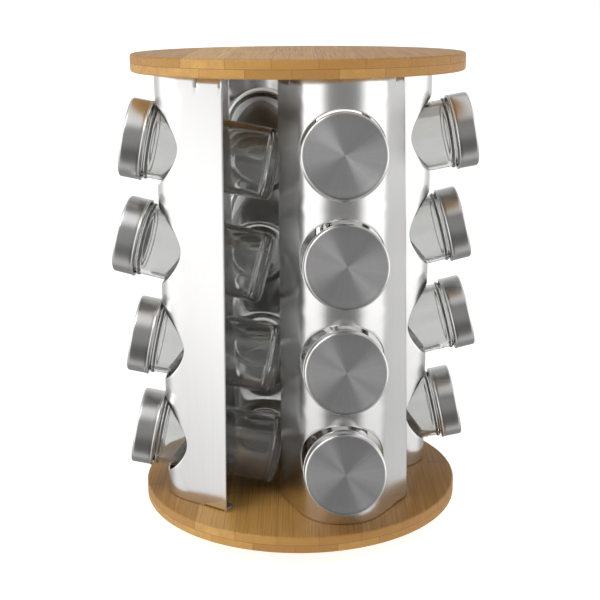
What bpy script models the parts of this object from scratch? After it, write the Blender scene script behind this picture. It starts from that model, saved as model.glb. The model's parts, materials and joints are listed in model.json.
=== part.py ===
"""Spice carousel: two wooden discs, four bent steel panels, sixteen glass jars with steel lids,
and a ball-bearing turntable underneath.

Metres, +Z up. The origin is on the turning axis, at the level of the surface that the feet stand on.
The front panel faces -Y. Each panel is the front one turned about Z by a multiple of 90 degrees, and
its column of jars lies to one side of the axis, so that the four columns pass each other inside.
"""

import math

import bmesh
import bpy
from mathutils import Matrix, Vector

MM = 0.001
GAP = 0.3 * MM                     # room between pieces that touch on the real object

# Wooden discs
DISC_RADIUS = 101.6 * MM
DISC_THICKNESS = 10.4 * MM
DISC_EDGE_ROUND = 1.4 * MM
DISC_SEGMENTS = 56

# Turntable, from the floor up
TURNTABLE_RADIUS = 66.0 * MM
TURNTABLE_BORE = 10.0 * MM
PLATE_THICKNESS = 1.0 * MM
TURNTABLE_SEGMENTS = 36
FOOT_HEIGHT = 2.4 * MM
FOOT_RADIUS = 5.5 * MM
FOOT_STEM_RADIUS = 2.0 * MM
FOOT_STEM_HEIGHT = 0.9 * MM
FOOT_CIRCLE = 60.0 * MM
FOOT_COUNT = 3
BALL_CIRCLE = 52.0 * MM
BALL_RADIUS = 1.6 * MM
BALL_COUNT = 9
GROOVE_RADIUS = 2.0 * MM
GROOVE_LIP = 1.2 * MM              # from the ball circle to a race's lip
RACE_WALL = 1.6 * MM
RACE_GAP = 0.4 * MM                # from a race's free edge to the other plate
LOWER_PLATE_Z = FOOT_HEIGHT + GAP
UPPER_PLATE_Z = 8.8 * MM
BALL_Z = (LOWER_PLATE_Z + PLATE_THICKNESS + UPPER_PLATE_Z) / 2

# Heights of the wooden discs and of the panels between them
PANEL_HEIGHT = 262.3 * MM
BASE_Z = UPPER_PLATE_Z + PLATE_THICKNESS + GAP
BASE_TOP = BASE_Z + DISC_THICKNESS
PANEL_Z = BASE_TOP + GAP
PANEL_TOP = PANEL_Z + PANEL_HEIGHT
TOP_Z = PANEL_TOP + GAP

# Steel panels: a round lobe with two straight wings
COLUMN_OFFSET = 25.2 * MM          # from the turning axis to a column's centre plane
SHEET = 0.8 * MM
LOBE_RADIUS = 28.5 * MM
LOBE_CENTRE = 56.5 * MM            # from the turning axis, outwards
LOBE_ENDS = (math.radians(-66), math.radians(61))    # where the left and the right wing begin
LOBE_STEPS = 14
WING_LENGTHS = (27.0 * MM, 30.0 * MM)
# Each wing's direction in plan, at the base and at the top, from straight across towards the turning
# axis. The right wing flares at its foot.
WING_ANGLES = (
    (math.radians(66), math.radians(66)),
    (math.radians(55.3), math.radians(67.7)),
)
LOBE_FRONT = LOBE_CENTRE + LOBE_RADIUS

# Tabs bent in from a panel's edges, and their screws
TAB_WIDTH = 14.6 * MM
TAB_REACH = 10.0 * MM
TAB_FROM_EDGE = 9.0 * MM           # from a wing's free edge to the tab's middle
TAB_HOLE_RADIUS = 1.75 * MM
SCREW_INSET = 5.6 * MM             # from the sheet to the screw
SCREW_HEAD_RADIUS = 2.9 * MM
SCREW_HEAD_HEIGHT = 1.8 * MM
SCREW_SHANK_RADIUS = 1.4 * MM
SCREW_LENGTH = 7.0 * MM
SCREW_SEGMENTS = 8
PILOT_DEPTH = 7.4 * MM

# Jars and lids
ROWS = 4
ROW_PITCH = 61.0 * MM
HOLE_RADIUS = 25.0 * MM
LOWEST_HOLE = 37.9 * MM            # from the base's top to the lowest hole's centre
JAR_DROP = 1.7 * MM                # a jar lies on its hole's lower edge, so its axis is lower
SWING_DEPTH = 8.0 * MM             # a jar swings about a line this far behind the lobe's front
JAR_REACH = 18.5 * MM              # from the lobe's front to the lid's face, jar pushed home
JAR_LENGTH = 92.0 * MM             # glass and lid together
GLASS_LENGTH = 91.0 * MM
BODY_RADIUS = 21.7 * MM
BEAD_RADIUS = 22.6 * MM
NECK_RADIUS = 21.0 * MM
GLASS_WALL = 2.3 * MM
LID_RADIUS = 23.75 * MM
CURL_RADIUS = 24.1 * MM
LID_HEIGHT = 13.5 * MM
LID_BORE = 22.6 * MM
LID_CROWN = 1.6 * MM
JAR_SEGMENTS = 16

# Each column from the top row down: how far each jar stands out from where its heel meets the
# next panel's free edge, in mm, and how much it tilts and swings in its hole, in degrees.
COLUMNS = {
    "front": ((0.0, 12.5, -1.0), (0.0, 12.5, 2.5), (0.0, 12.5, 2.5), (0.0, 11.6, 2.0)),
    "right": ((8.4, 10.5, 0.0), (4.4, 14.0, 0.0), (8.9, 14.0, 0.0), (2.2, 12.0, 0.0)),
    "back": ((0.0, 12.5, 1.0), (3.0, 13.0, -1.0), (0.0, 12.0, 0.0), (0.0, 11.6, 1.0)),
    "left": ((0.0, 11.5, 0.0), (5.3, 14.0, -4.0), (0.0, 11.8, 0.0), (0.0, 11.6, 0.0)),
}
# How far above its usual rest, on the hole's lower edge, each column's jars are wedged, in mm.
WEDGED = {"front": 0.0, "right": -0.5, "back": 0.0, "left": 2.4}


def clear_scene():
    for thing in list(bpy.data.objects):
        bpy.data.objects.remove(thing, do_unlink=True)


def material(name, colour, metallic, roughness, transmission=0.0):
    """A Principled BSDF material of one colour."""
    made = bpy.data.materials.new(name)
    made.use_nodes = True
    shader = made.node_tree.nodes["Principled BSDF"]
    shader.inputs["Base Color"].default_value = (*colour, 1.0)
    shader.inputs["Metallic"].default_value = metallic
    shader.inputs["Roughness"].default_value = roughness
    shader.inputs["Transmission Weight"].default_value = transmission
    return made


def new_object(name, bm, finish=None, smooth=False):
    """Turn a bmesh into an object with outward faces."""
    bmesh.ops.recalc_face_normals(bm, faces=bm.faces)
    mesh = bpy.data.meshes.new(name)
    bm.to_mesh(mesh)
    bm.free()
    if smooth:
        mesh.shade_smooth()
        mesh.set_sharp_from_angle(angle=math.radians(35))
    made = bpy.data.objects.new(name, mesh)
    if finish is not None:
        mesh.materials.append(finish)
    bpy.context.scene.collection.objects.link(made)
    return made


def add_turned(bm, profile, steps, closed=False):
    """Spin a profile of (radius, height) points about Z. A closed profile makes a ring."""
    verts = [bm.verts.new((radius, 0.0, height)) for radius, height in profile]
    edges = [bm.edges.new(pair) for pair in zip(verts, verts[1:])]
    if closed:
        edges.append(bm.edges.new((verts[-1], verts[0])))
    bmesh.ops.spin(bm, geom=verts + edges, cent=(0, 0, 0), axis=(0, 0, 1),
                   angle=2 * math.pi, steps=steps, use_merge=True)
    bmesh.ops.remove_doubles(bm, verts=bm.verts, dist=1e-6)


def turned(name, profile, steps, finish, closed=False):
    bm = bmesh.new()
    add_turned(bm, profile, steps, closed)
    return new_object(name, bm, finish, smooth=True)


def make_cutter(name, bm):
    """An object that only shapes others: the build leaves it out."""
    made = new_object(name, bm)
    made.hide_render = True
    made.display_type = "WIRE"
    return made


def add_boolean(target, tool, operation):
    cut = target.modifiers.new(tool.name, "BOOLEAN")
    cut.object = tool
    cut.operation = operation
    cut.solver = "EXACT"


def bake_modifiers(target):
    """Replace an object's mesh by what its modifiers make of it."""
    graph = bpy.context.evaluated_depsgraph_get()
    shaped = bpy.data.meshes.new_from_object(target.evaluated_get(graph))
    target.modifiers.clear()
    target.data = shaped


def turn_z(angle):
    return Matrix.Rotation(angle, 4, "Z")


def quarter_turn(index):
    return turn_z(index * math.pi / 2)


# ---------------------------------------------------------------- turntable

def groove(side, upwards):
    """Points of a race's groove, on the axis side (-1) or the rim side (+1) of the balls."""
    lip_angle = math.acos(GROOVE_LIP / GROOVE_RADIUS)
    points = []
    for step in range(4):
        angle = lip_angle * (2 * step / 3 - 1)
        radius = BALL_CIRCLE + side * GROOVE_RADIUS * math.cos(angle)
        points.append((radius, BALL_Z + GROOVE_RADIUS * math.sin(angle)))
    return points if upwards else points[::-1]


def make_turntable(steel, dark_rubber):
    plate_top = LOWER_PLATE_Z + PLATE_THICKNESS
    lip, back = BALL_CIRCLE - GROOVE_LIP, BALL_CIRCLE - GROOVE_LIP - RACE_WALL
    race_top = UPPER_PLATE_Z - RACE_GAP
    lower = turned("turntable_lower_plate", [
        (TURNTABLE_BORE, LOWER_PLATE_Z), (TURNTABLE_RADIUS, LOWER_PLATE_Z),
        (TURNTABLE_RADIUS, plate_top), (lip, plate_top), *groove(-1, True),
        (lip, race_top), (back, race_top), (back, plate_top), (TURNTABLE_BORE, plate_top),
    ], TURNTABLE_SEGMENTS, steel, closed=True)

    plate_top = UPPER_PLATE_Z + PLATE_THICKNESS
    lip, back = BALL_CIRCLE + GROOVE_LIP, BALL_CIRCLE + GROOVE_LIP + RACE_WALL
    race_bottom = LOWER_PLATE_Z + PLATE_THICKNESS + RACE_GAP
    turned("turntable_upper_plate", [
        (TURNTABLE_BORE, plate_top), (TURNTABLE_RADIUS, plate_top),
        (TURNTABLE_RADIUS, UPPER_PLATE_Z), (back, UPPER_PLATE_Z), (back, race_bottom),
        (lip, race_bottom), *groove(1, True), (lip, UPPER_PLATE_Z), (TURNTABLE_BORE, UPPER_PLATE_Z),
    ], TURNTABLE_SEGMENTS, steel, closed=True)

    make_ball_ring(steel)

    sockets = bmesh.new()
    for index in range(FOOT_COUNT):
        place = turn_z(2 * math.pi * index / FOOT_COUNT) @ Matrix.Translation((0, -FOOT_CIRCLE, 0))
        make_foot(index, place, dark_rubber)
        bmesh.ops.create_cone(sockets, cap_ends=True, segments=12, depth=4 * PLATE_THICKNESS,
                              radius1=FOOT_STEM_RADIUS + GAP, radius2=FOOT_STEM_RADIUS + GAP,
                              matrix=place @ Matrix.Translation((0, 0, LOWER_PLATE_Z)))
    add_boolean(lower, make_cutter("cut_foot_sockets", sockets), "DIFFERENCE")


def make_foot(index, place, dark_rubber):
    foot = turned(f"rubber_foot_{index + 1}", [
        (0, 0), (FOOT_RADIUS, 0), (FOOT_RADIUS, FOOT_HEIGHT), (FOOT_STEM_RADIUS, FOOT_HEIGHT),
        (FOOT_STEM_RADIUS, FOOT_HEIGHT + FOOT_STEM_HEIGHT), (0, FOOT_HEIGHT + FOOT_STEM_HEIGHT),
    ], 12, dark_rubber)
    foot.matrix_world = place


def make_ball_ring(steel):
    """Balls in the slim ring that spaces them, as one piece."""
    half_width, half_height = 0.7 * MM, 0.45 * MM
    ring = turned("ball_ring", [
        (BALL_CIRCLE - half_width, BALL_Z - half_height), (BALL_CIRCLE + half_width, BALL_Z - half_height),
        (BALL_CIRCLE + half_width, BALL_Z + half_height), (BALL_CIRCLE - half_width, BALL_Z + half_height),
    ], 2 * BALL_COUNT, steel, closed=True)
    balls = bmesh.new()
    for index in range(BALL_COUNT):
        place = turn_z(2 * math.pi * index / BALL_COUNT) @ Matrix.Translation((BALL_CIRCLE, 0, BALL_Z))
        bmesh.ops.create_icosphere(balls, subdivisions=2, radius=BALL_RADIUS, matrix=place)
    add_boolean(ring, make_cutter("guide_balls", balls), "UNION")


# ---------------------------------------------------------------- panels

def lobe_point(angle, inset=0.0):
    """A point of the panel's plan: x across from the column's centre plane, y inwards (-Y is out)."""
    radius = LOBE_RADIUS - inset
    return Vector((radius * math.sin(angle), -(LOBE_CENTRE + radius * math.cos(angle))))


def wing_place(wing, level):
    """A wing's free edge on the outer face, and its directions along and inwards, in plan.

    The wing is 0 (left) or 1 (right), and the level is 0 (base) or 1 (top).
    """
    side, angle = 2 * wing - 1, WING_ANGLES[wing][level]
    along = Vector((side * math.cos(angle), math.sin(angle)))
    inward = Vector((-side * along.y, side * along.x))
    return lobe_point(LOBE_ENDS[wing]) + WING_LENGTHS[wing] * along, along, inward


def panel_side(inset, level):
    """One face of the sheet in plan, from the left wing's free edge to the right wing's."""
    start, end = LOBE_ENDS
    angles = [start + (end - start) * step / LOBE_STEPS for step in range(LOBE_STEPS + 1)]
    points = [lobe_point(angle, inset) for angle in angles]
    edges = []
    for wing in (0, 1):
        free_edge, _, inward = wing_place(wing, level)
        edges.append(free_edge + inset * inward)
    return [edges[0], *points, edges[1]]


def tab_places(level):
    """For each wing: the tab's middle on the sheet's outer face, and its directions."""
    places = []
    for wing in (0, 1):
        free_edge, along, inward = wing_place(wing, level)
        places.append((free_edge - TAB_FROM_EDGE * along, along, inward))
    return places


def panel_tabs():
    """The four tabs of a panel, as boxes that reach into the sheet."""
    bm = bmesh.new()
    root = SHEET / 2
    for level, z in enumerate((PANEL_Z + SHEET / 2, PANEL_TOP - SHEET / 2)):
        for middle, along, inward in tab_places(level):
            centre = middle + (root + TAB_REACH / 2) * inward
            frame = Matrix.Translation((centre.x, centre.y, z)) @ turn_z(math.atan2(along.y, along.x))
            size = Matrix.Diagonal((TAB_WIDTH, TAB_REACH, SHEET, 1))
            bmesh.ops.create_cube(bm, size=1.0, matrix=frame @ size)
    return make_cutter("guide_panel_tabs", bm)


def screw_spots(level):
    """Where the front panel's screws stand in plan, at the base (0) or at the top (1)."""
    spots = []
    for middle, _, inward in tab_places(level):
        spot = middle + (SHEET + SCREW_INSET) * inward
        spots.append(Vector((spot.x + COLUMN_OFFSET, spot.y)))
    return spots


def hole_height(row):
    """Height of a hole's centre; row 0 is the top one."""
    return BASE_TOP + LOWEST_HOLE + (ROWS - 1 - row) * ROW_PITCH


def panel_cutters():
    """The jars' holes and the screws' holes, cut from the panel in one go."""
    bm = bmesh.new()
    for row in range(ROWS):
        place = Matrix.Translation((0, -LOBE_FRONT, hole_height(row))) @ Matrix.Rotation(math.pi / 2, 4, "X")
        bmesh.ops.create_cone(bm, cap_ends=True, segments=20, radius1=HOLE_RADIUS, radius2=HOLE_RADIUS,
                              depth=1.3 * LOBE_RADIUS, matrix=place)
    for level, z in enumerate((PANEL_Z, PANEL_TOP)):
        for spot in screw_spots(level):
            bmesh.ops.create_cone(bm, cap_ends=True, segments=8, depth=4 * SHEET,
                                  radius1=TAB_HOLE_RADIUS, radius2=TAB_HOLE_RADIUS,
                                  matrix=Matrix.Translation((spot.x - COLUMN_OFFSET, spot.y, z)))
    return make_cutter("cut_panel_holes", bm)


def make_panels(steel):
    bm = bmesh.new()
    outlines = []
    for level, z in enumerate((PANEL_Z, PANEL_TOP)):
        plan = panel_side(0.0, level) + panel_side(SHEET, level)[::-1]
        outlines.append([bm.verts.new((point.x, point.y, z)) for point in plan])
        bm.faces.new(outlines[level])
    lower, upper = outlines
    for step in range(len(lower)):
        bm.faces.new((lower[step - 1], lower[step], upper[step], upper[step - 1]))
    first = new_object("panel_front", bm, steel)
    add_boolean(first, panel_tabs(), "UNION")
    add_boolean(first, panel_cutters(), "DIFFERENCE")
    bake_modifiers(first)
    for index, side in enumerate(COLUMNS):
        panel = first
        if index > 0:
            panel = bpy.data.objects.new(f"panel_{side}", first.data)
            bpy.context.scene.collection.objects.link(panel)
        panel.matrix_world = quarter_turn(index) @ Matrix.Translation((COLUMN_OFFSET, 0, 0))


def make_screws(steel):
    """Two screws up into the top disc and two down into the base for each panel."""
    head, tip = SCREW_HEAD_HEIGHT, SCREW_LENGTH - SCREW_SHANK_RADIUS
    profile = [(0, -head), (0.75 * SCREW_HEAD_RADIUS, -head), (SCREW_HEAD_RADIUS, -0.4 * head),
               (SCREW_HEAD_RADIUS, 0), (SCREW_SHANK_RADIUS, 0), (SCREW_SHANK_RADIUS, tip),
               (0, SCREW_LENGTH)]
    shared = turned("panel_screw", profile, SCREW_SEGMENTS, steel).data
    bpy.data.objects.remove(bpy.data.objects["panel_screw"])
    seats = (
        ("lower", Matrix.Translation((0, 0, PANEL_Z + SHEET + GAP)) @ Matrix.Rotation(math.pi, 4, "X")),
        ("upper", Matrix.Translation((0, 0, PANEL_TOP - SHEET - GAP))),
    )
    for index, side in enumerate(COLUMNS):
        for level, (name, height) in enumerate(seats):
            for number, spot in enumerate(screw_spots(level), start=1):
                screw = bpy.data.objects.new(f"screw_{side}_{name}_{number}", shared)
                bpy.context.scene.collection.objects.link(screw)
                spot_place = Matrix.Translation((spot.x, spot.y, 0))
                screw.matrix_world = quarter_turn(index) @ spot_place @ height


# ---------------------------------------------------------------- wooden discs

def make_disc(name, bottom, pilot_face, level, wood):
    """A disc with eased edges and a blind pilot hole for each screw in its pilot face."""
    top, edge = bottom + DISC_THICKNESS, DISC_EDGE_ROUND
    ease = edge * (1 - math.sqrt(0.5))
    disc = turned(name, [
        (0, bottom), (DISC_RADIUS - edge, bottom), (DISC_RADIUS - ease, bottom + ease),
        (DISC_RADIUS, bottom + edge), (DISC_RADIUS, top - edge),
        (DISC_RADIUS - ease, top - ease), (DISC_RADIUS - edge, top), (0, top),
    ], DISC_SEGMENTS, wood)
    bm = bmesh.new()
    for index in range(len(COLUMNS)):
        for spot in screw_spots(level):
            place = quarter_turn(index) @ Matrix.Translation((spot.x, spot.y, pilot_face))
            bmesh.ops.create_cone(bm, cap_ends=True, segments=8, depth=2 * PILOT_DEPTH,
                                  radius1=TAB_HOLE_RADIUS, radius2=TAB_HOLE_RADIUS, matrix=place)
    add_boolean(disc, make_cutter(f"cut_{name}_pilots", bm), "DIFFERENCE")


# ---------------------------------------------------------------- jars and lids

def jar_frame(index, row, seat, wedged):
    """Frame of a jar: +Z runs out along its axis, and its origin is under the glass."""
    stands_out, tilt, swing = seat
    tilt, swing = math.radians(tilt), math.radians(swing)
    out = JAR_REACH + stands_out * MM
    hole = Matrix.Translation((COLUMN_OFFSET, -LOBE_FRONT, hole_height(row) - JAR_DROP + wedged * MM))
    lean = Matrix.Rotation(math.pi / 2 - tilt, 4, "X")
    back = Matrix.Translation((0, SWING_DEPTH, 0))
    return (quarter_turn(index) @ hole @ back @ turn_z(swing) @ back.inverted() @ lean
            @ Matrix.Translation((0, 0, out - JAR_LENGTH)))


def glass_profile():
    """Outer wall from the bottom up, then the inner wall back down."""
    lid_end = JAR_LENGTH - LID_HEIGHT
    bead_top = lid_end - 0.5 * MM
    bead_bottom = bead_top - 3.3 * MM
    heel = 3.2 * MM
    inner = BODY_RADIUS - GLASS_WALL
    mouth = NECK_RADIUS - GLASS_WALL
    floor = 4.5 * MM
    return [
        (0, 0), (BODY_RADIUS - heel, 0), (BODY_RADIUS, heel), (BODY_RADIUS, bead_bottom - 0.6 * MM),
        (BEAD_RADIUS, bead_bottom), (BEAD_RADIUS, bead_top), (NECK_RADIUS, bead_top + 0.4 * MM),
        (NECK_RADIUS, GLASS_LENGTH), (mouth, GLASS_LENGTH), (mouth, bead_bottom + 1.5 * MM),
        (inner, bead_bottom - 3 * MM), (inner, floor), (0, floor),
    ]


def lid_profile():
    """Outer face down to the curl, then the bore back up to the inside of the crown."""
    lid_end = JAR_LENGTH - LID_HEIGHT
    curl, ceiling = 1.7 * MM, GLASS_LENGTH + GAP
    return [
        (0, JAR_LENGTH), (LID_RADIUS - LID_CROWN, JAR_LENGTH), (LID_RADIUS, JAR_LENGTH - LID_CROWN),
        (LID_RADIUS, lid_end + curl), (CURL_RADIUS, lid_end + 0.7 * curl), (CURL_RADIUS, lid_end),
        (LID_BORE, lid_end), (LID_BORE, ceiling), (0, ceiling),
    ]


def make_jars(glass, steel):
    jar_mesh = turned("jar", glass_profile(), JAR_SEGMENTS, glass).data
    lid_mesh = turned("lid", lid_profile(), JAR_SEGMENTS, steel).data
    for name in ("jar", "lid"):
        bpy.data.objects.remove(bpy.data.objects[name])
    for index, (side, seats) in enumerate(COLUMNS.items()):
        for row, seat in enumerate(seats):
            for kind, mesh in (("jar", jar_mesh), ("lid", lid_mesh)):
                piece = bpy.data.objects.new(f"{kind}_{side}_{row + 1}", mesh)
                bpy.context.scene.collection.objects.link(piece)
                piece.matrix_world = jar_frame(index, row, seat, WEDGED[side])


def main():
    clear_scene()
    bamboo = material("bamboo", (0.62, 0.42, 0.22), 0.0, 0.45)
    brushed = material("brushed_steel", (0.72, 0.72, 0.71), 1.0, 0.30)
    lid_steel = material("lid_steel", (0.58, 0.58, 0.57), 1.0, 0.28)
    zinc = material("zinc_steel", (0.60, 0.61, 0.62), 1.0, 0.40)
    glass = material("clear_glass", (0.93, 0.96, 0.94), 0.0, 0.03, transmission=1.0)
    dark_rubber = material("dark_rubber", (0.05, 0.05, 0.05), 0.0, 0.80)
    make_turntable(zinc, dark_rubber)
    make_disc("base_disc", BASE_Z, BASE_TOP, 0, bamboo)
    make_disc("top_disc", TOP_Z, TOP_Z, 1, bamboo)
    make_panels(brushed)
    make_screws(zinc)
    make_jars(glass, lid_steel)


main()
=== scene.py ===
"""Looks of the spice carousel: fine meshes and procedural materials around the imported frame.

Metres, +Z up. Sizes are in millimetres times MM.
"""

import json
import math

import bmesh
import bpy
from mathutils import Matrix, Vector


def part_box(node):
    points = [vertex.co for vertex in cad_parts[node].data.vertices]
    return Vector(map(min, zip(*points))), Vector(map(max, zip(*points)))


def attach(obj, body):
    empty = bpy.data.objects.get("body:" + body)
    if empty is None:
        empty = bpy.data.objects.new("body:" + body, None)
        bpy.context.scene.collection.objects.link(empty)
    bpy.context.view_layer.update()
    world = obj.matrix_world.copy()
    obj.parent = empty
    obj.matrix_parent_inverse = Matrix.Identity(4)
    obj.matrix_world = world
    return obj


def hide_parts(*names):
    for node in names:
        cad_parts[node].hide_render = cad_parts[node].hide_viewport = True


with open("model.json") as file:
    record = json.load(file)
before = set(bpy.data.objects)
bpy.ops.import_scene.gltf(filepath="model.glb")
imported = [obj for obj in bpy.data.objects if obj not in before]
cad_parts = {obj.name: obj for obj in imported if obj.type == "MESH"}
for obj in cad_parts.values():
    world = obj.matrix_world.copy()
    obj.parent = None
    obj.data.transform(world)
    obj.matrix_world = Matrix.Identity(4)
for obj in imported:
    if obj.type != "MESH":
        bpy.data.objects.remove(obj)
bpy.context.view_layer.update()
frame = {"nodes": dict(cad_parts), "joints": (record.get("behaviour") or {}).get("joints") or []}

MM = 0.001
WHITE = (1.0, 1.0, 1.0, 1.0)
SIDES = ("front", "right", "back", "left")
ROWS = 4

# Bent steel panels, in plan: a round lobe with two straight wings
SHEET = 0.8 * MM
LOBE_RADIUS = 28.5 * MM
LOBE_ENDS = (math.radians(-66), math.radians(61))  # where the left and the right wing begin
WING_LENGTHS = (27.0 * MM, 30.0 * MM)
WING_ANGLES = (  # each wing's direction at the base and at the top
    (math.radians(66), math.radians(66)),
    (math.radians(55.3), math.radians(67.7)),
)
HOLE_RADIUS = 25.0 * MM
ROW_PITCH = 61.0 * MM
LOWEST_HOLE = 37.9 * MM  # from the base's top to the lowest hole's centre
CELL_PAST_LOBE = 3.0 * MM  # how far the mesh round a hole runs into the right wing
STEPS_UP = 28  # quads up the mesh round a hole
STEPS_ACROSS = 40  # quads across it
TAB_STEPS = 8  # quads across a tab
EDGE_BEVEL = 0.12 * MM

# Tabs bent in from the panels' edges
TAB_WIDTH = 14.6 * MM
TAB_REACH = 10.4 * MM
TAB_FROM_EDGE = 9.0 * MM
TAB_BEND = 2.6 * MM  # how far in the bend reaches
TAB_ROOTS = {-1: 1.4 * MM, 1: 6.4 * MM}  # from the lower and upper edge to the bend's start
TAB_CORNER = 3.0 * MM
RELIEF_WIDTH = 0.5 * MM
RELIEF_PAST_ROOT = 0.2 * MM
TAB_SCREW_DEPTH = 6.4 * MM
SCREW_HOLE_RADIUS = 1.75 * MM

# Wooden discs
DISC_EDGE = 1.4 * MM
PILOT_DEPTH = 7.4 * MM

# Screws
SCREW_HEAD_RADIUS = 2.9 * MM
SCREW_HEAD_HEIGHT = 1.8 * MM
PLATE_SCREW_HEAD_RADIUS = 2.7 * MM
SCREW_SHANK = 1.2 * MM
SCREW_LENGTH = 7.0 * MM
SCREW_THREAD_START = 1.0 * MM
SCREW_THREAD_PITCH = 0.9 * MM
SCREW_THREAD_HEIGHT = 0.30  # as a share of the shank's radius
SCREW_POINT = 1.6 * MM
RECESS_LENGTH = 3.0 * MM
RECESS_WIDTH = 0.62 * MM
RECESS_DEPTH = 1.1 * MM

# Jars: heights along the jar's axis from the underside of the glass
JAR_SEGMENTS = 144
BODY_RADIUS = 21.7 * MM
HEEL = 4.0 * MM
BEAD_RADIUS = 22.6 * MM
BEAD_BOTTOM = 74.7 * MM
BEAD_TOP = 78.0 * MM
NECK_RADIUS = 21.0 * MM
GLASS_LENGTH = 91.0 * MM
GLASS_WALL = 2.3 * MM
GLASS_FLOOR = 4.5 * MM
THREAD_HEIGHT = 0.6 * MM
THREAD_PITCH = 3.4 * MM
THREAD_START = 80.6 * MM
THREAD_TURNS = 1.85
THREADED = (80.0 * MM, 89.0 * MM)  # the stretch of neck that carries the thread
STIPPLE_RING = (12.5 * MM, 17.5 * MM)  # inner and outer radius, under the jar
STIPPLE_PITCH = 2.2 * MM
STIPPLE_DEPTH = 0.18 * MM
STIPPLE_SPOKES = 36
LID_TOP = 92.0 * MM
LID_END = 78.5 * MM
LID_RADIUS = 23.75 * MM
LID_CROWN = 1.6 * MM
LID_SHEET = 0.45 * MM
CURL_RADIUS = 24.1 * MM
CURL_HEIGHT = 1.7 * MM
LUG_MIDDLE = 82.0 * MM
LUG_HALF_HEIGHT = 1.2 * MM
LUG_DEPTH = 0.75 * MM
LUG_HALF_WIDTH = 0.11  # as a share of the quarter turn between lugs
LINER_RADIUS = 21.6 * MM

# Turntable
BALL_CIRCLE = 52.0 * MM
BALL_RADIUS = 1.6 * MM
BALL_COUNT = 9
CAGE_RADIUS = 0.6 * MM
GROOVE_RADIUS = 2.0 * MM
GROOVE_LIP = 1.2 * MM
RACE_WALL = 1.6 * MM
RACE_LIP_ROUND = 0.3 * MM
RACE_BACK_ROUND = 0.4 * MM
RACE_FILLET = 0.5 * MM
PLATE_THICKNESS = 1.0 * MM
PLATE_BORE = 10.0 * MM
FOOT_HOLE_RADIUS = 2.3 * MM
TOOL_HOLE_RADIUS = 3.6 * MM  # in the lower plate, to reach the upper one's screws
TURNTABLE_SCREW_CIRCLE = 30.0 * MM
TURNTABLE_SCREWS = 4

# Camera, from the turning axis and above the base's top
CAMERA_DISTANCE = 701.2 * MM
CAMERA_RISE = 301.4 * MM


# -------- node helpers

class Nodes:
    """A node tree, with short calls for the nodes that finishes and studio share."""

    def __init__(self, tree):
        self.tree = tree

    def node(self, kind, inputs=None, **settings):
        made = self.tree.nodes.new(kind)
        for key, value in settings.items():
            setattr(made, key, value)
        for key, value in (inputs or {}).items():
            self.feed(made.inputs[key], value)
        return made

    def feed(self, socket, value):
        if isinstance(value, bpy.types.NodeSocket):
            self.tree.links.new(value, socket)
        else:
            socket.default_value = value

    def math(self, operation, first, second=0.0, third=0.0):
        made = self.node("ShaderNodeMath", {0: first, 1: second, 2: third}, operation=operation)
        return made.outputs[0]

    def mix(self, factor, first, second, blend="MIX"):
        made = self.node("ShaderNodeMix", data_type="RGBA", blend_type=blend)
        colour_inputs = [socket for socket in made.inputs if socket.type == "RGBA"]
        self.feed(made.inputs[0], factor)
        self.feed(colour_inputs[0], first)
        self.feed(colour_inputs[1], second)
        return [socket for socket in made.outputs if socket.type == "RGBA"][0]

    def split(self, vector):
        """A vector's x, y and z."""
        return self.node("ShaderNodeSeparateXYZ", {0: vector}).outputs

    def vector(self, x, y, z=0.0):
        return self.node("ShaderNodeCombineXYZ", {0: x, 1: y, 2: z}).outputs[0]

    def remap(self, value, low, high, new_low, new_high):
        made = self.node("ShaderNodeMapRange",
                         {"Value": value, "From Min": low, "From Max": high,
                          "To Min": new_low, "To Max": new_high})
        return made.outputs["Result"]

    def ramp(self, factor, stops, interpolation="LINEAR"):
        made = self.node("ShaderNodeValToRGB", {"Fac": factor})
        made.color_ramp.interpolation = interpolation
        elements = made.color_ramp.elements
        while len(elements) < len(stops):
            elements.new(0.5)
        for element, (place, colour) in zip(elements, stops):
            element.position = place
            element.color = (*colour, 1.0)
        return made.outputs["Color"]


class Shader(Nodes):
    """A material's node tree around its Principled BSDF."""

    def __init__(self, name):
        self.material = bpy.data.materials.new(name)
        self.material.use_nodes = True
        super().__init__(self.material.node_tree)
        self.surface = self.tree.nodes["Principled BSDF"]

    def place(self):
        """Object coordinates."""
        return self.node("ShaderNodeTexCoord").outputs["Object"]

    def noise(self, scale, detail=3.0, roughness=0.5):
        """Noise in object coordinates; a small scale along one axis draws it out along that axis."""
        scaled = self.node("ShaderNodeVectorMath", {0: self.place(), 1: scale}, operation="MULTIPLY")
        made = self.node("ShaderNodeTexNoise",
                         {"Vector": scaled.outputs[0], "Scale": 1.0, "Detail": detail,
                          "Roughness": roughness})
        return made.outputs["Fac"]

    def tinted(self, colour, tint):
        """A colour times a tint."""
        grey = self.node("ShaderNodeCombineColor", {0: tint, 1: tint, 2: tint}).outputs[0]
        return self.mix(1.0, (*colour, 1.0), grey, "MULTIPLY")

    def round_axis(self):
        """The direction round the object's own Z axis."""
        return self.node("ShaderNodeTangent", direction_type="RADIAL", axis="Z").outputs[0]

    def bump(self, height, distance, strength):
        made = self.node("ShaderNodeBump",
                         {"Height": height, "Distance": distance, "Strength": strength})
        self.feed(self.surface.inputs["Normal"], made.outputs["Normal"])

    def set(self, **values):
        for key, value in values.items():
            self.feed(self.surface.inputs[key.replace("_", " ")], value)
        return self.material


# -------- materials

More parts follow.
